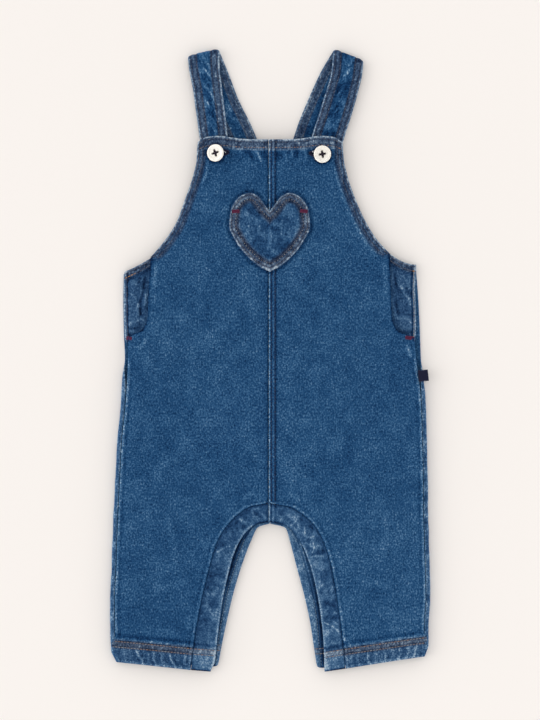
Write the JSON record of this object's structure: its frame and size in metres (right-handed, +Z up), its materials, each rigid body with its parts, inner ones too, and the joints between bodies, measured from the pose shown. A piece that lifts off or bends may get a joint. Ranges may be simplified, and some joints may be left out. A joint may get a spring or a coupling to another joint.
{
  "type": "baby's denim dungarees laid flat",
  "caption": "Washed denim dungarees for a baby, laid flat with the front up, with buttoned shoulder straps, a heart-shaped chest pocket and banded inside legs.",
  "frame": {"origin": "on the surface that the garment lies on, in the middle of its width and length", "axes": "+X towards the viewer's right, +Y towards the straps, +Z up out of the front of the garment"},
  "size_m": [0.2559, 0.4985, 0.0087],
  "materials": {
    "body_denim": "washed indigo denim, matte, heathered twill",
    "band_denim": "washed indigo denim, crumpled and lighter on its ridges",
    "strap_denim": "washed indigo denim, worn light along its edges",
    "pocket_denim": "washed indigo denim, blotchy, worn light round its edge",
    "button_cream": "cream resin, soft gloss",
    "tab_navy": "navy woven tape"
  },
  "bodies": {
    "root": {"front_left": "body_denim", "front_right": "body_denim", "back_left": "body_denim", "back_right": "body_denim", "side_piece_left": "body_denim", "side_piece_right": "body_denim", "leg_band_front_left": "band_denim", "leg_band_front_right": "band_denim", "leg_band_back_left": "band_denim", "leg_band_back_right": "band_denim", "strap_left": "strap_denim", "strap_right": "strap_denim", "heart_pocket": "pocket_denim", "button_left": "button_cream", "button_right": "button_cream", "label_tab": "tab_navy"}
  },
  "joints": []
}
